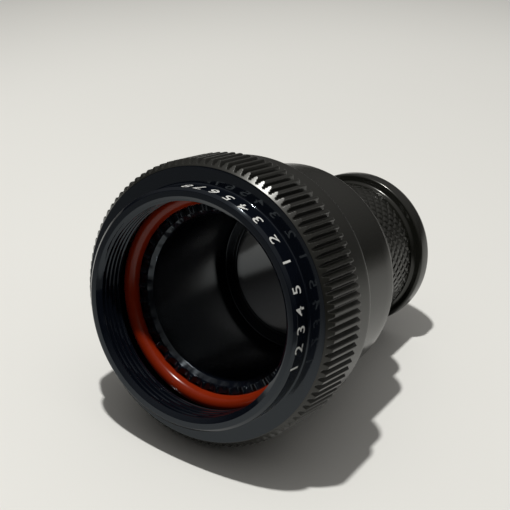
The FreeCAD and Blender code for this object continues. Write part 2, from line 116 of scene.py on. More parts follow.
class BodySizes(bpy.types.PropertyGroup):
    """Adapter body."""

    tooth_tip: length("Tooth tips", "Mouth face to the tips of the collar's teeth", BODY_LOW.y)
    end: length("Barrel end", "Mouth face to the barrel's rear face", 32.2 * MM)
    boss_radius: length("Boss radius", "Boss round the tail's spigot", 15.1 * MM)
    boss_end: length("Boss end", "Mouth face to the boss's rear face", BODY_HIGH.y)
    shoulder_radius: length("Shoulder radius", "Shoulder inside the nut", BODY_HIGH.x)
    shoulder_front: length("Shoulder front", "Face that carries the seal", SEAL_HIGH.y)
    shoulder_rear: length("Shoulder rear", "Face that carries the slip washer", FRONT_WASHER_LOW.y)
    barrel_radius: length("Barrel radius", "Smooth barrel behind the nut", 18.12 * MM)
    rim_round: length("Rim round", "Round on the barrel's rear rim", 0.8 * MM)
    bore_radius: length("Bore radius", "Long smooth bore", 13.2 * MM)
    rear_wall: length("Rear wall", "Thickness of the barrel's rear wall", 1.8 * MM)
    spigot_radius: length("Spigot radius", "Hole for the tail's spigot", 11.6 * MM)
    collar_radius: length("Collar radius", "Collar inside the seal", 15.0 * MM)
    collar_bore: length("Collar bore", "Bore at the teeth", 13.9 * MM)
    collar_step: length("Collar step", "Tooth tips to the long bore", 1.4 * MM)
    tooth_height: length("Tooth height", "Tooth tip to root", 0.8 * MM)
    tooth_count: IntProperty(
        name="Teeth", description="Interlocking teeth round the collar", default=36, min=3)
    dust_floor: length("Dust groove", "Floor of the dust seal's groove", 17.75 * MM)


class TailSizes(bpy.types.PropertyGroup):
    """Shield tail."""

    start: length("Spigot front", "Mouth face to the spigot's front", TAIL_LOW.y)
    end: length("Rear face", "Mouth face to the tail's rear face", TAIL_HIGH.y)
    crest: length("Knurl radius", "Tips of the diamond knurl", 12.05 * MM)
    depth: length("Knurl depth", "Tip to groove", 0.22 * MM)
    around: IntProperty(
        name="Diamonds round", description="Diamonds in one turn of the knurl", default=40, min=8)
    diamond: length("Diamond length", "One diamond along the axis", 2.0 * MM)
    bore: length("Cable bore", "Bore that the cable leaves through", 10.95 * MM)
    lip_radius: length("Lip radius", "Rolled lip behind the shield band", TAIL_HIGH.z)
    lip_width: length("Lip width", "Lip along the axis", 3.3 * MM)
    lip_round: length("Lip round", "Round on the lip", 0.95 * MM)
    blend: length("Blend", "Hollow between the knurl and the lip", 0.7 * MM)


class FinishColours(bpy.types.PropertyGroup):
    """Colours of the finishes."""

    anodise: colour("Anodised black", "Dyed oxide where it is satin", (0.0062, 0.0064, 0.0050))
    # The glossy black is darker and bluer than the satin black: the extra darkness is painted shade and the
    # blue is a painted bluish sky reflection.
    polished_with_painted_shade: colour("Polished black", "Dyed oxide where it is glossy", (0.0024, 0.0034, 0.0062))
    silicone: colour("Silicone", "Interface seal", (0.2, 0.016, 0.003))
    rubber: colour("Rubber", "Dust seal", (0.012, 0.012, 0.013))
    washer: colour("PTFE", "Slip washers", (0.78, 0.78, 0.75))
    spring: colour("Spring steel", "Retaining ring and springs", (0.42, 0.41, 0.39))
    steel: colour("Bearing steel", "Detent balls", (0.62, 0.62, 0.63))
    ink: colour("Ink", "Printed index numerals", (0.72, 0.73, 0.71))
    table: colour("Table", "Pale table top", (0.75, 0.752, 0.73))


class StageSizes(bpy.types.PropertyGroup):
    """Camera and light."""

    azimuth: FloatProperty(name="Azimuth", description="Camera round +Z, from -Y", default=29.09)
    elevation: FloatProperty(name="Elevation", description="Camera above the part's axis", default=18.45)
    roll: FloatProperty(name="Roll", description="Camera roll", default=10.69)
    distance: length("Distance", "Camera to the point it looks at", 230.06 * MM)
    focal: FloatProperty(
        name="Focal length", description="Lens, millimetres on a 36 mm sensor", default=98.82)
    sky: FloatProperty(name="Sky strength", description="Soft light from all round", default=0.19)
    key: FloatProperty(name="Key strength", description="Main lamp, watts", default=9.6)
    key_size: length("Key size", "Width of the main lamp", 22.0 * MM)
    key_cone: FloatProperty(
        name="Key cone", description="Opening of the main lamp's beam, degrees", default=52.0)


SETTINGS = {
    "backshell_nut": NutSizes,
    "backshell_body": BodySizes,
    "backshell_tail": TailSizes,
    "backshell_colours": FinishColours,
    "backshell_stage": StageSizes,
}

# Numerals on the neck, each with its angle in degrees from the top
INDEX_MARKS = (
    ("1", 98.0), ("2", 88.5), ("3", 79.5), ("4", 71.0), ("5", 61.5),
    ("1", 48.5), ("2", 37.0), ("3", 25.5), ("4", 16.5), ("5", 8.0), ("6", 0.0), ("7", -7.5), ("8", -14.5),
)
NUMERAL_SIZE = 3.0 * MM
NUMERAL_MIDDLE = 1.5 * MM
NUMERAL_SPREAD = 0.02 * MM
INK_LIFT = 0.01 * MM

# Steps and tolerances of the turned meshes
ARC_STEPS = 5
EDGE = 0.1 * MM
NEAR = EDGE / 10
HAIR = EDGE / 50

# Flanks: where the wave of each rib, turn, notch, tooth or diamond starts and ends its rise
RIB_FLANK = (0.03, 0.38)
THREAD_FLANK = (0.14, 0.42)
NOTCH_FLANK = (0.3, 0.5)
TOOTH_FLANK = (0.06, 0.46)
KNURL_FLANK = (0.0, 0.2)

# Grip ribs: rounded rear ends, and the places round a rib and along it that carry points
RIB_ROUND = 0.45 * MM
RIB_START = 0.25 * MM
RIB_PHASES = (0.0, 0.05, 0.1, 0.2, 0.3, 0.35, 0.4, 0.5, 0.6, 0.65, 0.7, 0.8, 0.9, 0.95)
RIB_BEVEL_ROWS = 12
RIB_END_ROWS = (0.04, 0.15, 0.35, 0.65, 1.0)

# Thread: points along one turn, and how it runs in and out
THREAD_ROWS = 14
THREAD_START = 0.2
THREAD_RUN_IN = 0.4 * MM
THREAD_RUN_OUT = 0.3 * MM

# Ball track and ball bores
TRACK_WIDTH = 2.0 * MM
BALL_BORE_DEPTH = 3.7 * MM
DRILL_LENGTH = 6.0 * MM

# Moulded seals, with a faint parting line
SEAL_STEPS = 40
SEAL_TURNS = 288
SEAL_FLASH = 0.02 * MM

# Sockets of a colour mix, which share their names with those for numbers
MIX_FACTOR, MIX_FIRST, MIX_SECOND, MIX_RESULT = 0, 6, 7, 2

# Light and camera, with places in millimetres
SKY_COLOUR = (1.0, 0.97, 0.93, 1.0)
SKY_START = 0.15
SKY_LOW = 0.08
SKY_HIGH = 2.4
BACKDROP = 0.6
LAMP_COLOUR = (1.0, 0.985, 0.95)
LAMP_PLACE = (-38.0, -158.0, 493.0)
LAMP_AIM = (10.0, 60.0, 0.0)
BEAM_BLEND = 0.8
CAMERA_AIM = (-4.73, 25.45, 2.44)
SENSOR_WIDTH = 36.0
TABLE_REACH = 1.2


# Outlines and turned meshes

def arc_corner(before, corner, after, radius):
    """The points that round one corner of an outline off with this radius."""
    here = Vector(corner)
    back = Vector(before) - here
    ahead = Vector(after) - here
    turn = back.angle(ahead)
    reach = radius / math.tan(turn / 2)
    reach = min(reach, 0.45 * back.length, 0.45 * ahead.length)
    start = here + back.normalized() * reach
    stop = here + ahead.normalized() * reach
    points = []
    for step in range(ARC_STEPS + 1):
        share = step / ARC_STEPS
        one = start.lerp(here, share)
        two = here.lerp(stop, share)
        points.append(tuple(one.lerp(two, share)))
    return points


def soft_outline(corners, longest=None):
    """A closed outline from (radius, y, round) corners, with long sides cut into short ones."""
    count = len(corners)
    points = []
    for index, (radius, along, edge) in enumerate(corners):
        before = corners[index - 1][:2]
        after = corners[(index + 1) % count][:2]
        if edge:
            points.extend(arc_corner(before, (radius, along), after, edge))
        else:
            points.append((radius, along))
    if not longest:
        return points
    fine = []
    for index, point in enumerate(points):
        start = Vector(point)
        side = Vector(points[(index + 1) % len(points)]) - start
        cuts = max(1, math.ceil(side.length / longest))
        fine.extend(tuple(start + side * (cut / cuts)) for cut in range(cuts))
    return fine


def even_angles(count):
    return [math.tau * index / count for index in range(count)]


def turned_mesh(name, outline, angles, shape=None):
    """Sweep a closed outline about +Y; shape(radius, along, angle) may move each point."""
    points = []
    for angle in angles:
        for radius, along in outline:
            out, deep = shape(radius, along, angle) if shape else (radius, along)
            points.append((out * math.sin(angle), deep, out * math.cos(angle)))
    rows = len(outline)
    turns = len(angles)
    faces = []
    for turn in range(turns):
        here = turn * rows
        there = (turn + 1) % turns * rows
        for row in range(rows):
            following = (row + 1) % rows
            faces.append((here + row, here + following, there + following, there + row))
    mesh = bpy.data.meshes.new(name)
    mesh.from_pydata(points, [], faces)
    return outward(mesh)


def outward(mesh):
    """Point every face of a closed mesh outwards."""
    shell = bmesh.new()
    shell.from_mesh(mesh)
    bmesh.ops.recalc_face_normals(shell, faces=shell.faces)
    shell.to_mesh(mesh)
    shell.free()
    return mesh


def add_piece(name, mesh, finish, body, nodes=(), crease=30.0):
    """Link a finished mesh as one piece that rides on a body and stands for these solids."""
    piece = bpy.data.objects.new(name, mesh)
    bpy.context.scene.collection.objects.link(piece)
    mesh.materials.clear()
    mesh.materials.append(finish)
    mesh.polygons.foreach_set("use_smooth", [True] * len(mesh.polygons))
    mesh.set_sharp_from_angle(angle=math.radians(crease))
    weighted = piece.modifiers.new("Flat faces stay flat", "WEIGHTED_NORMAL")
    weighted.keep_sharp = True
    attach(piece, body)
    if nodes:
        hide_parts(*nodes)
    return piece


def wave(phase, flank):
    """A rounded trapezoid from 0 to 1 and back over one turn of phase, its top in the middle."""
    distance = abs(phase % 1.0 - 0.5)
    share = min(1.0, max(0.0, (0.5 - distance - flank[0]) / (flank[1] - flank[0])))
    return share * share * (3 - 2 * share)


# Finishes

class Finish:
    """A node material under construction."""

    def __init__(self, name):
        self.material = bpy.data.materials.new(name)
        self.material.use_nodes = True
        self.tree = self.material.node_tree
        self.shader = self.tree.nodes["Principled BSDF"]
        self.coordinates = self.node("ShaderNodeTexCoord").outputs["Object"]

    def node(self, kind, **settings):
        made = self.tree.nodes.new(kind)
        for key, setting in settings.items():
            setattr(made, key, setting)
        return made

    def link(self, source, target):
        self.tree.links.new(source, target)

    def maths(self, operation, first, second=None, third=None):
        made = self.node("ShaderNodeMath", operation=operation)
        for index, source in enumerate((first, second, third)):
            if source is None:
                continue
            if isinstance(source, (int, float)):
                made.inputs[index].default_value = source
            else:
                self.link(source, made.inputs[index])
        return made.outputs[0]

    def turned_space(self):
        """Radius, place along the axis and angle, each as a socket."""
        split = self.node("ShaderNodeSeparateXYZ")
        self.link(self.coordinates, split.inputs[0])
        across, along, up = split.outputs
        square = self.maths(
            "ADD", self.maths("MULTIPLY", across, across), self.maths("MULTIPLY", up, up))
        return self.maths("SQRT", square), along, self.maths("ARCTAN2", across, up)

    def combine(self, first, second, third):
        made = self.node("ShaderNodeCombineXYZ")
        for index, source in enumerate((first, second, third)):
            if isinstance(source, (int, float)):
                made.inputs[index].default_value = source
            else:
                self.link(source, made.inputs[index])
        return made.outputs[0]

    def noise(self, vector, scale, detail=2.0, roughness=0.5):
        made = self.node("ShaderNodeTexNoise")
        self.link(vector, made.inputs["Vector"])
        made.inputs["Scale"].default_value = scale
        made.inputs["Detail"].default_value = detail
        made.inputs["Roughness"].default_value = roughness
        return made.outputs["Fac"]

    def spread(self, source, low, high, to_low=0.0, to_high=1.0):
        made = self.node("ShaderNodeMapRange")
        self.link(source, made.inputs["Value"])
        ends = {"From Min": low, "From Max": high, "To Min": to_low, "To Max": to_high}
        for key, number in ends.items():
            made.inputs[key].default_value = number
        return made.outputs["Result"]

    def blend(self, share, first, second):
        made = self.node("ShaderNodeMix", data_type="RGBA")
        sockets = (made.inputs[index] for index in (MIX_FACTOR, MIX_FIRST, MIX_SECOND))
        for socket, source in zip(sockets, (share, first, second)):
            if isinstance(source, bpy.types.NodeSocket):
                self.link(source, socket)
            elif isinstance(source, (int, float)):
                socket.default_value = source
            else:
                socket.default_value = (*source, 1.0)
        return made.outputs[MIX_RESULT]

    def bump(self, height, distance, strength=1.0, normal=None):
        made = self.node("ShaderNodeBump")
        self.link(height, made.inputs["Height"])
        made.inputs["Distance"].default_value = distance
        made.inputs["Strength"].default_value = strength
        if normal:
            self.link(normal, made.inputs["Normal"])
        return made.outputs["Normal"]

    def put(self, **values):
        """Set constants on the shader's own sockets and link the rest."""
        for key, source in values.items():
            socket = self.shader.inputs[key.replace("_", " ")]
            if isinstance(source, bpy.types.NodeSocket):
                self.link(source, socket)
            elif isinstance(source, (int, float)):
                socket.default_value = source
            else:
                socket.default_value = (*source, 1.0)


def shade(colour_value, factor):
    return tuple(min(1.0, channel * factor) for channel in colour_value)


def anodised_finish(name, colours, glossy_inside, gloss, rough, barrel_front=None):
    """Black-dyed oxide over turning lines: glossy within a radius, satin outside it or behind a face. The
    glossy part also takes a darker, bluer base colour, which is painted shade and a painted bluish
    reflection over the dye.
    """
    finish = Finish(name)
    radius, along, angle = finish.turned_space()
    drawn_out = finish.combine(radius, along, finish.maths("MULTIPLY", angle, 0.0004))
    lines = finish.noise(drawn_out, scale=9000.0, detail=3.0, roughness=0.6)
    grain = finish.noise(finish.coordinates, scale=2600.0, roughness=0.6)
    clouds = finish.noise(finish.coordinates, scale=160.0, detail=3.0, roughness=0.55)
    satin = finish.spread(radius, glossy_inside, glossy_inside + 0.05 * MM)
    if barrel_front:
        satin = finish.maths("MAXIMUM", satin, finish.spread(along, barrel_front, barrel_front + MM))
    dark, light = shade(colours.anodise, 0.92), shade(colours.anodise, 1.08)
    dye_and_painted_shade = finish.blend(finish.spread(clouds, 0.35, 0.65), dark, light)
    # The glossy faces get the darker, bluer base colour: painted shade and a painted bluish reflection over
    # the dye's own tone.
    dye_and_painted_shade = finish.blend(satin, colours.polished_with_painted_shade, dye_and_painted_shade)
    roughness = finish.spread(satin, 0.0, 1.0, gloss, rough)
    roughness = finish.maths("ADD", roughness, finish.spread(lines, 0.3, 0.7, -0.02, 0.02))
    # The blue specular tint on the glossy faces tints their reflections blue, standing in for a bluish sky.
    tint = finish.blend(satin, (0.8, 0.9, 1.0), (1.0, 1.0, 0.97))
    normal = finish.bump(lines, 0.0008 * MM)
    normal = finish.bump(grain, 0.0005 * MM, 1.0, normal)
    finish.put(
        Base_Color=dye_and_painted_shade, Roughness=roughness, Normal=normal, Specular_Tint=tint, Metallic=0.0, IOR=1.5)
    return finish.material


def silicone_finish(colours):
    """Smooth moulded silicone."""
    finish = Finish("seal_silicone")
    clouds = finish.noise(finish.coordinates, scale=240.0, detail=3.0, roughness=0.6)
    dust = finish.noise(finish.coordinates, scale=5200.0, roughness=0.7)
    dark, light = shade(colours.silicone, 0.92), shade(colours.silicone, 1.06)
    body = finish.blend(finish.spread(clouds, 0.3, 0.7), dark, light)
    finish.put(
        Base_Color=body, Roughness=finish.spread(clouds, 0.3, 0.7, 0.16, 0.22),
        Normal=finish.bump(dust, 0.0015 * MM), Specular_IOR_Level=0.25)
    return finish.material


def rubber_finish(colours):
    """Matt black rubber with a fine grain."""
    finish = Finish("seal_rubber")
    grain = finish.noise(finish.coordinates, scale=3800.0, detail=3.0, roughness=0.7)
    body = finish.blend(finish.spread(grain, 0.35, 0.7), colours.rubber, shade(colours.rubber, 2.4))
    finish.put(
        Base_Color=body, Roughness=finish.spread(grain, 0.3, 0.7, 0.55, 0.75),
        Normal=finish.bump(grain, 0.006 * MM))
    return finish.material


def ptfe_finish(colours):
    """Waxy white sheet with skived lines."""
    finish = Finish("washer_ptfe")
    radius, along, angle = finish.turned_space()
    drawn_out = finish.combine(radius, finish.maths("MULTIPLY", angle, 0.01), along)
    lines = finish.noise(drawn_out, scale=1400.0)
    body = finish.blend(finish.spread(lines, 0.3, 0.7), shade(colours.washer, 0.92), colours.washer)
    finish.put(
        Base_Color=body, Roughness=finish.spread(lines, 0.3, 0.7, 0.36, 0.5),
        Normal=finish.bump(lines, 0.004 * MM))
    return finish.material


def steel_finish(name, tint, rough, mark):
    """Drawn or ground steel with faint marks and an oily film."""
    finish = Finish(name)
    marks = finish.noise(finish.coordinates, scale=mark, detail=4.0, roughness=0.65)
    film = finish.noise(finish.coordinates, scale=300.0)
    body = finish.blend(finish.spread(film, 0.3, 0.7), shade(tint, 0.82), tint)
    finish.put(
        Base_Color=body, Metallic=1.0, Roughness=finish.spread(marks, 0.3, 0.7, rough, rough + 0.12),
        Normal=finish.bump(marks, 0.0015 * MM))
    return finish.material


def ink_finish(colours):
    """Baked white ink, thin in places."""
    finish = Finish("index_ink")
    patches = finish.noise(finish.coordinates, scale=2400.0, detail=3.0, roughness=0.7)
    body = finish.blend(finish.spread(patches, 0.35, 0.62), shade(colours.ink, 0.72), colours.ink)
    finish.put(Base_Color=body, Roughness=0.5, Normal=finish.bump(patches, 0.004 * MM))
    return finish.material


def table_finish(colours):
    """Plain pale board."""
    finish = Finish("table_top")
    clouds = finish.noise(finish.coordinates, scale=14.0, detail=3.0)
    grain = finish.noise(finish.coordinates, scale=900.0)
    body = finish.blend(finish.spread(clouds, 0.3, 0.7), shade(colours.table, 0.985), colours.table)
    finish.put(
        Base_Color=body, Roughness=0.75, Specular_IOR_Level=0.25, Normal=finish.bump(grain, 0.01 * MM, 0.3))
    return finish.material


# Pieces

class BACKSHELL_OT_coupling_nut(bpy.types.Operator):
    """Turn the coupling nut, with its grip ribs, thread, ball track and ring groove"""

    bl_idname = "backshell.coupling_nut"
    bl_label = "Coupling Nut"

    def execute(self, context):
        sizes = context.scene.backshell_nut
        colours = context.scene.backshell_colours
        floor = sizes.rib_crest - sizes.rib_height
        land = floor - sizes.floor_rise
        slope = (sizes.rib_crest - land) / sizes.rib_bevel
        track_front = (BALL_LOW.y + BALL_HIGH.y) / 2 - TRACK_WIDTH / 2
        track_rear = track_front + TRACK_WIDTH
        groove_floor = RING_HIGH.x + RUNNING_PLAY
        corners = [
            (sizes.mouth_radius, 0.0, 0.05 * MM),
            (sizes.thread_radius, sizes.lead_in, 0.0),
            (sizes.thread_radius, sizes.thread_end, 0.06 * MM),
            (sizes.relief_radius, sizes.thread_end, 0.2 * MM),
            (sizes.relief_radius, sizes.bore_front, 0.08 * MM),
            (sizes.bore_radius, sizes.bore_front, 0.1 * MM),
            (sizes.bore_radius, track_front, 0.05 * MM),
            (sizes.track_floor, track_front, 0.2 * MM),
            (sizes.track_floor, track_rear, 0.2 * MM),
            (sizes.bore_radius, track_rear, 0.05 * MM),
            (sizes.bore_radius, RING_LOW.y - RING_PLAY, 0.05 * MM),
            (groove_floor, RING_LOW.y - RING_PLAY, 0.06 * MM),
            (groove_floor, RING_HIGH.y + RING_PLAY, 0.06 * MM),
            (sizes.bore_radius, RING_HIGH.y + RING_PLAY, 0.05 * MM),
            (sizes.bore_radius, sizes.end, 0.15 * MM),
            (land, sizes.end, 0.45 * MM),
            (land, sizes.rib_end, 0.0),
            (floor, sizes.rib_end, 0.0),
            (floor, sizes.neck_length + sizes.floor_rise / slope, 0.0),
            (land, sizes.neck_length, 0.18 * MM),
            (sizes.neck_radius, sizes.neck_length, 0.3 * MM),
            (sizes.neck_radius, sizes.lip_bevel, 0.15 * MM),
            (sizes.neck_radius - sizes.lip_bevel, 0.0, 0.12 * MM),
        ]
        outline = soft_outline(corners, longest=0.5 * MM)
        outline = thread_rows(outline, sizes)
        outline = rib_rows(outline, sizes, floor)
        angles = [
            math.tau * (rib + phase) / sizes.rib_count
            for rib in range(sizes.rib_count) for phase in RIB_PHASES]
        thread_start = sizes.lead_in * THREAD_START
        thread_stop = sizes.thread_end - EDGE

        def shape(radius, along, angle):
            ahead = along - sizes.neck_length
            behind = sizes.rib_end - along
            if radius > land + HAIR and ahead > RIB_START and behind > -HAIR:
                rounded = max(0.0, RIB_ROUND ** 2 - max(0.0, RIB_ROUND - behind) ** 2)
                missing = RIB_ROUND - math.sqrt(rounded)
                crest = (sizes.rib_height - missing) * wave(angle / math.tau * sizes.rib_count, RIB_FLANK)
                return max(radius, min(floor + crest, land + slope * ahead)), along
            if radius < sizes.thread_radius + NEAR and thread_start < along < thread_stop:
                turn = along / sizes.thread_pitch - angle / math.tau
                run_in = (along - thread_start) / THREAD_RUN_IN
                fade = min(1.0, run_in, (thread_stop - along) / THREAD_RUN_OUT)
                return radius + sizes.thread_depth * fade * wave(turn, THREAD_FLANK), along
            if radius > sizes.track_floor - NEAR and track_front < along < track_rear:
                notch = wave(angle / math.tau * sizes.notch_count, NOTCH_FLANK)
                return radius + sizes.notch_depth * notch, along
            return radius, along

        mesh = turned_mesh("coupling_nut_mesh", outline, angles, shape)
        finish = anodised_finish("nut_anodised", colours, land - 0.05 * MM, gloss=0.08, rough=0.3)
        add_piece(
            "coupling_nut_turned", mesh, finish, "nut", ["coupling_nut"], crease=38.0)
        return {"FINISHED"}


def thread_rows(outline, sizes):
    """Sample the threaded wall finely enough for its flanks."""
    step = sizes.thread_pitch / THREAD_ROWS
    rows = []
    for index, (radius, along) in enumerate(outline):
        following = outline[(index + 1) % len(outline)]
        rows.append((radius, along))
        if max(abs(radius - sizes.thread_radius), abs(following[0] - sizes.thread_radius)) < NEAR:
            cuts = max(1, round(abs(following[1] - along) / step))
            rows.extend((radius, along + (following[1] - along) * cut / cuts) for cut in range(1, cuts))
    return rows


def rib_rows(outline, sizes, floor):
    """Add rows along the ribs' bevel and round their rear ends."""
    ends = [
        sizes.neck_length + sizes.rib_bevel * row / RIB_BEVEL_ROWS for row in range(1, RIB_BEVEL_ROWS + 1)]
    ends += [sizes.rib_end - RIB_ROUND * share for share in RIB_END_ROWS]
    rows = []
    for index, (radius, along) in enumerate(outline):
        following = outline[(index + 1) % len(outline)]
        rows.append((radius, along))
        if max(abs(radius - floor), abs(following[0] - floor)) < NEAR and following[1] < along:
            inside = sorted((end for end in ends if following[1] < end < along), reverse=True)
            rows.extend((radius, end) for end in inside)
    return rows


class BACKSHELL_OT_adapter_body(bpy.types.Operator):
    """Turn the adapter body, with the toothed collar and the long bore"""

    bl_idname = "backshell.adapter_body"
    bl_label = "Adapter Body"

    def execute(self, context):
        sizes = context.scene.backshell_body
        colours = context.scene.backshell_colours
        wall_front = sizes.end - sizes.rear_wall
        step = sizes.collar_bore - sizes.bore_radius
        corners = [
            (sizes.collar_bore, sizes.tooth_tip, 0.04 * MM),
            (sizes.collar_radius, sizes.tooth_tip, 0.04 * MM),
            (sizes.collar_radius, sizes.shoulder_front, 0.2 * MM),
            (sizes.shoulder_radius, sizes.shoulder_front, 0.15 * MM),
            (sizes.shoulder_radius, sizes.shoulder_rear, 0.15 * MM),
            (sizes.barrel_radius, sizes.shoulder_rear, 0.1 * MM),
            (sizes.barrel_radius, DUST_LOW.y, 0.05 * MM),
            (sizes.dust_floor, DUST_LOW.y, 0.1 * MM),
            (sizes.dust_floor, DUST_HIGH.y, 0.1 * MM),
            (sizes.barrel_radius, DUST_HIGH.y, 0.05 * MM),
            (sizes.barrel_radius, sizes.end, sizes.rim_round),
            (sizes.boss_radius, sizes.end, 0.3 * MM),
            (sizes.boss_radius, sizes.boss_end, 0.4 * MM),
            (sizes.spigot_radius, sizes.boss_end, 0.08 * MM),
            (sizes.spigot_radius, wall_front, 0.1 * MM),
            (sizes.bore_radius, wall_front, 0.35 * MM),
            (sizes.bore_radius, sizes.tooth_tip + sizes.collar_step, 0.15 * MM),
            (sizes.collar_bore, sizes.tooth_tip + sizes.collar_step - step, 0.1 * MM),
        ]
        outline = soft_outline(corners, longest=2.0 * MM)
        foot = sizes.tooth_tip + 1.05 * sizes.tooth_height

        def shape(radius, along, angle):
            if along < foot and radius < sizes.collar_radius + NEAR:
                tooth = wave(angle / math.tau * sizes.tooth_count + 0.5, TOOTH_FLANK)
                sunk = sizes.tooth_height * (1 - tooth)
                share = (foot - along) / (foot - sizes.tooth_tip)
                return radius, along + sunk * share
            return radius, along

        mesh = turned_mesh("adapter_body_mesh", outline, even_angles(sizes.tooth_count * 20), shape)
        drill_ball_bores(mesh, sizes)
        finish = anodised_finish(
            "body_anodised", colours, sizes.barrel_radius - 0.5 * MM, gloss=0.2, rough=0.2,
            barrel_front=sizes.end - MM)
        add_piece("adapter_body_turned", mesh, finish, "adapter", ["adapter_body"])
        return {"FINISHED"}


def drill_ball_bores(mesh, sizes):
    """Cut the radial bores that hold the detent balls and their springs."""
    middle = (BALL_LOW.y + BALL_HIGH.y) / 2
    radius = (BALL_HIGH.x - BALL_LOW.x) / 2 + RUNNING_PLAY
    floor = sizes.shoulder_radius - BALL_BORE_DEPTH
    body = bpy.data.objects.new("drilled", mesh)
    bpy.context.scene.collection.objects.link(body)
    drills = bmesh.new()
    for angle in even_angles(3):
        turn = Matrix.Rotation(angle, 4, "Y")
        place = turn @ Matrix.Translation((0.0, middle, floor + DRILL_LENGTH / 2))
        bmesh.ops.create_cone(
            drills, cap_ends=True, segments=32, radius1=radius, radius2=radius, depth=DRILL_LENGTH,
            matrix=place)
    cutter_mesh = bpy.data.meshes.new("drills")
    drills.to_mesh(cutter_mesh)
    drills.free()
    cutter = bpy.data.objects.new("drills", cutter_mesh)
    bpy.context.scene.collection.objects.link(cutter)
    cut = body.modifiers.new("Bores", "BOOLEAN")
    cut.object = cutter
    cut.operation = "DIFFERENCE"
    cut.solver = "EXACT"
    bpy.context.view_layer.update()
    seen = body.evaluated_get(bpy.context.evaluated_depsgraph_get())
    drilled = bpy.data.meshes.new_from_object(seen)
    bpy.data.objects.remove(body)
    bpy.data.objects.remove(cutter)
    shell = bmesh.new()
    shell.from_mesh(drilled)
    shell.to_mesh(mesh)
    shell.free()


class BACKSHELL_OT_shield_tail(bpy.types.Operator):
    """Turn the shield tail, with its diamond knurl and rolled lip"""

    bl_idname = "backshell.shield_tail"
    bl_label = "Shield Tail"

    def execute(self, context):
        sizes = context.scene.backshell_tail
        body = context.scene.backshell_body
        colours = context.scene.backshell_colours
        lip_front = sizes.end - sizes.lip_width
        knurl_front = body.boss_end + 0.25 * MM
        knurl_rear = lip_front - 2 * sizes.blend
        corners = [
            (sizes.bore, sizes.start, 0.3 * MM),
            (body.spigot_radius, sizes.start, 0.12 * MM),
            (body.spigot_radius, body.boss_end, 0.0),
            (sizes.crest - sizes.depth, body.boss_end, 0.0),
            (sizes.crest - sizes.depth, knurl_front, 0.0),
            (sizes.crest, knurl_front, 0.0),
            (sizes.crest, knurl_rear, 0.0),
            (sizes.crest - 0.2 * MM, lip_front - sizes.blend, sizes.blend),
            (sizes.crest + 0.25 * MM, lip_front, 0.5 * MM),
            (sizes.lip_radius, lip_front, sizes.lip_round),
            (sizes.lip_radius, sizes.end, sizes.lip_round),
            (sizes.bore, sizes.end, 0.3 * MM),
        ]
        outline = []
        for radius, along in soft_outline(corners, longest=1.5 * MM):
            if abs(radius - sizes.crest) >= NEAR or not knurl_front <= along <= knurl_rear:
                outline.append((radius, along))
        rows = math.ceil((knurl_rear - knurl_front) / (sizes.diamond / 16))
        knurl = [
            (sizes.crest, knurl_front + (knurl_rear - knurl_front) * row / rows) for row in range(rows + 1)]
        first = next(
            index for index, (radius, along) in enumerate(outline)
            if along > knurl_rear and radius > body.spigot_radius)
        outline = outline[:first] + knurl + outline[first:]

        def shape(radius, along, angle):
            if abs(radius - sizes.crest) < NEAR and knurl_front <= along <= knurl_rear:
                round_share = angle / math.tau * sizes.around
                along_share = along / sizes.diamond
                one = wave(round_share + along_share, KNURL_FLANK)
                two = wave(round_share - along_share, KNURL_FLANK)
                return radius - sizes.depth * (1 - min(one, two)), along
            return radius, along

        mesh = turned_mesh("shield_tail_mesh", outline, even_angles(sizes.around * 16), shape)
        finish = anodised_finish("tail_anodised", colours, sizes.bore + 0.35 * MM, gloss=0.16, rough=0.2)
        add_piece(
            "shield_tail_turned", mesh, finish, "adapter", ["shield_tail"], crease=60.0)
        return {"FINISHED"}


class BACKSHELL_OT_seals(bpy.types.Operator):
    """Mould the orange interface seal and the black dust seal"""

    bl_idname = "backshell.seals"
    bl_label = "Seals"

    def execute(self, context):
        colours = context.scene.backshell_colours
        rings = (
            ("interface_seal", SEAL_LOW, SEAL_HIGH, silicone_finish(colours), "orange_silicone"),
            ("dust_seal", DUST_LOW, DUST_HIGH, rubber_finish(colours), "black_rubber"),
        )
        for node, low, high, finish, slot in rings:
            section = (high.y - low.y) / 2
            centre = (low.y + high.y) / 2
            middle = high.z - section
            outline = []
            for step in range(SEAL_STEPS):
                turn = math.tau * step / SEAL_STEPS
                flash = SEAL_FLASH * max(0.0, 1 - abs(math.sin(turn)) * 6)
                reach = section - SEAL_FLASH + flash
                outline.append((middle + reach * math.cos(turn), centre + reach * math.sin(turn)))
            mesh = turned_mesh(node + "_mesh", outline, even_angles(SEAL_TURNS))
            add_piece(node + "_moulded", mesh, finish, "adapter", [node], crease=80.0)
        return {"FINISHED"}


class BACKSHELL_OT_hardware(bpy.types.Operator):
    """Finish the washers, springs, ring and balls that hide inside the nut"""

    bl_idname = "backshell.hardware"
    bl_label = "Inner Hardware"

    def execute(self, context):
        colours = context.scene.backshell_colours
        spring = steel_finish("drawn_steel", colours.spring, rough=0.28, mark=1800.0)
        steel = steel_finish("ball_steel", colours.steel, rough=0.08, mark=900.0)
        washer = ptfe_finish(colours)
        finishes = {
            "front_slip_washer": washer,
            "rear_slip_washer": washer,
            "wave_spring": spring,
            "retaining_ring": spring,
        }
        for number in (1, 2, 3):
            finishes[f"detent_ball_{number}"] = steel
            finishes[f"detent_spring_{number}"] = spring
        for node, finish in finishes.items():
            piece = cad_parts[node]
            piece.data.materials.clear()
            piece.data.materials.append(finish)
        return {"FINISHED"}


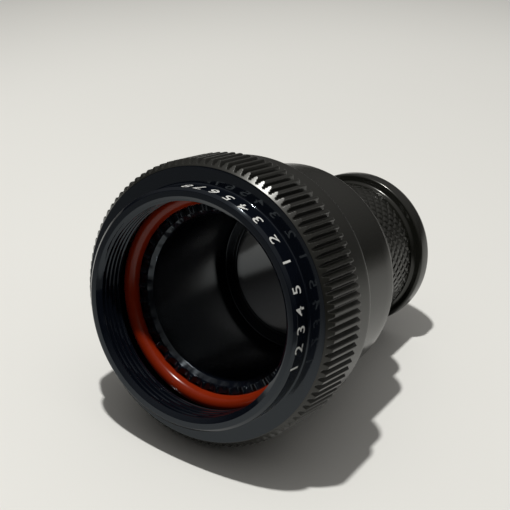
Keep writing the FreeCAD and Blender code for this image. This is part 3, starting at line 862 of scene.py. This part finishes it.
class BACKSHELL_OT_index_numerals(bpy.types.Operator):
    """Print plain index numerals round the nut's neck"""

    bl_idname = "backshell.index_numerals"
    bl_label = "Index Numerals"

    def execute(self, context):
        sizes = context.scene.backshell_nut
        colours = context.scene.backshell_colours
        printed = bmesh.new()
        for digit, angle in INDEX_MARKS:
            add_numeral(printed, digit, math.radians(angle), sizes)
        mesh = bpy.data.meshes.new("index_numerals_mesh")
        printed.to_mesh(mesh)
        printed.free()
        finish = ink_finish(colours)
        add_piece("index_numerals", mesh, finish, "nut")
        return {"FINISHED"}


def add_numeral(printed, digit, angle, sizes):
    """One digit wrapped onto the neck, its top towards the mouth."""
    curve = bpy.data.curves.new("numeral", "FONT")
    curve.body = digit
    curve.size = NUMERAL_SIZE
    curve.align_x = "CENTER"
    curve.align_y = "CENTER"
    curve.offset = NUMERAL_SPREAD
    curve.resolution_u = 4
    text = bpy.data.objects.new("numeral", curve)
    bpy.context.scene.collection.objects.link(text)
    bpy.context.view_layer.update()
    seen = text.evaluated_get(bpy.context.evaluated_depsgraph_get())
    flat = bpy.data.meshes.new_from_object(seen)
    radius = sizes.neck_radius + INK_LIFT
    for vertex in flat.vertices:
        turn = angle - vertex.co.x / radius
        vertex.co = (radius * math.sin(turn), NUMERAL_MIDDLE - vertex.co.y, radius * math.cos(turn))
    printed.from_mesh(flat)
    bpy.data.objects.remove(text)
    bpy.data.curves.remove(curve)
    bpy.data.meshes.remove(flat)


class BACKSHELL_OT_stage(bpy.types.Operator):
    """Set the table, the light and the camera"""

    bl_idname = "backshell.stage"
    bl_label = "Stage"

    def execute(self, context):
        stage = context.scene.backshell_stage
        colours = context.scene.backshell_colours
        add_table(context, colours)
        add_light(context, stage)
        add_camera(context, stage)
        return {"FINISHED"}


def table_slope(context):
    """The part lies on its ribs' rear ends and its tail's lip, so the table slopes up to the tail."""
    nut = context.scene.backshell_nut
    tail = context.scene.backshell_tail
    lip_along = tail.end - tail.lip_width / 2
    return math.atan2(nut.rib_crest - tail.lip_radius, lip_along - nut.rib_end)


def add_table(context, colours):
    nut = context.scene.backshell_nut
    shell = bmesh.new()
    bmesh.ops.create_grid(shell, x_segments=8, y_segments=8, size=TABLE_REACH)
    mesh = bpy.data.meshes.new("table_mesh")
    shell.to_mesh(mesh)
    shell.free()
    mesh.materials.append(table_finish(colours))
    table = bpy.data.objects.new("table", mesh)
    context.scene.collection.objects.link(table)
    table.rotation_euler = (table_slope(context), 0.0, 0.0)
    table.location = (0.0, nut.rib_end, -nut.rib_crest)


def add_light(context, stage):
    """One small lamp overhead and in front, in a dim room that grows brighter upwards."""
    world = bpy.data.worlds.new("studio")
    world.use_nodes = True
    context.scene.world = world
    tree = world.node_tree
    place = tree.nodes.new("ShaderNodeTexCoord")
    split = tree.nodes.new("ShaderNodeSeparateXYZ")
    rise = tree.nodes.new("ShaderNodeMapRange")
    path = tree.nodes.new("ShaderNodeLightPath")
    backdrop = tree.nodes.new("ShaderNodeMix")
    tree.links.new(place.outputs["Generated"], split.inputs[0])
    tree.links.new(split.outputs["Z"], rise.inputs["Value"])
    rise.inputs["From Min"].default_value = SKY_START
    rise.inputs["From Max"].default_value = 1.0
    rise.inputs["To Min"].default_value = SKY_LOW * stage.sky
    rise.inputs["To Max"].default_value = SKY_HIGH * stage.sky
    tree.links.new(path.outputs["Is Camera Ray"], backdrop.inputs[0])
    tree.links.new(rise.outputs["Result"], backdrop.inputs[2])
    backdrop.inputs[3].default_value = BACKDROP
    sky = tree.nodes["Background"]
    sky.inputs["Color"].default_value = SKY_COLOUR
    tree.links.new(backdrop.outputs[0], sky.inputs["Strength"])
    data = bpy.data.lights.new("key_lamp", "SPOT")
    data.shadow_soft_size = stage.key_size / 2
    data.spot_size = math.radians(stage.key_cone)
    data.spot_blend = BEAM_BLEND
    data.energy = stage.key
    data.color = LAMP_COLOUR
    lamp = bpy.data.objects.new("key_lamp", data)
    context.scene.collection.objects.link(lamp)
    lamp.location = Vector(LAMP_PLACE) * MM
    lamp.rotation_euler = (Vector(LAMP_AIM) * MM - lamp.location).to_track_quat("-Z", "Y").to_euler()
    context.scene.view_settings.view_transform = "Standard"


def add_camera(context, stage):
    data = bpy.data.cameras.new("camera")
    data.sensor_width = SENSOR_WIDTH
    data.lens = stage.focal
    data.clip_start = 0.01
    camera = bpy.data.objects.new("camera", data)
    context.scene.collection.objects.link(camera)
    turn = math.radians(stage.azimuth)
    rise = math.radians(stage.elevation)
    back = Vector((math.sin(turn) * math.cos(rise), -math.cos(turn) * math.cos(rise), math.sin(rise)))
    aim = Vector(CAMERA_AIM) * MM
    level = (-back).to_track_quat("-Z", "Y").to_matrix().to_4x4()
    camera.matrix_world = Matrix.Translation(aim + back * stage.distance) @ level @ Matrix.Rotation(
        math.radians(stage.roll), 4, "Z")
    context.scene.camera = camera


class BACKSHELL_PT_sidebar(bpy.types.Panel):
    """Lists the pieces in the order in which they are built"""

    bl_idname = "BACKSHELL_PT_sidebar"
    bl_label = "Connector Backshell"
    bl_space_type = "VIEW_3D"
    bl_region_type = "UI"
    bl_category = "Backshell"

    def draw(self, context):
        for operator in OPERATORS:
            self.layout.operator(operator.bl_idname)


OPERATORS = (
    BACKSHELL_OT_coupling_nut,
    BACKSHELL_OT_adapter_body,
    BACKSHELL_OT_shield_tail,
    BACKSHELL_OT_seals,
    BACKSHELL_OT_hardware,
    BACKSHELL_OT_index_numerals,
    BACKSHELL_OT_stage,
)


def register():
    for group in SETTINGS.values():
        bpy.utils.register_class(group)
    for attribute, group in SETTINGS.items():
        setattr(bpy.types.Scene, attribute, PointerProperty(type=group))
    for operator in OPERATORS:
        bpy.utils.register_class(operator)
    bpy.utils.register_class(BACKSHELL_PT_sidebar)


def unregister():
    bpy.utils.unregister_class(BACKSHELL_PT_sidebar)
    for operator in reversed(OPERATORS):
        bpy.utils.unregister_class(operator)
    for attribute, group in SETTINGS.items():
        delattr(bpy.types.Scene, attribute)
        bpy.utils.unregister_class(group)


def main():
    register()
    for operator in OPERATORS:
        family, action = operator.bl_idname.split(".")
        getattr(getattr(bpy.ops, family), action)()


if __name__ == "__main__":
    main()
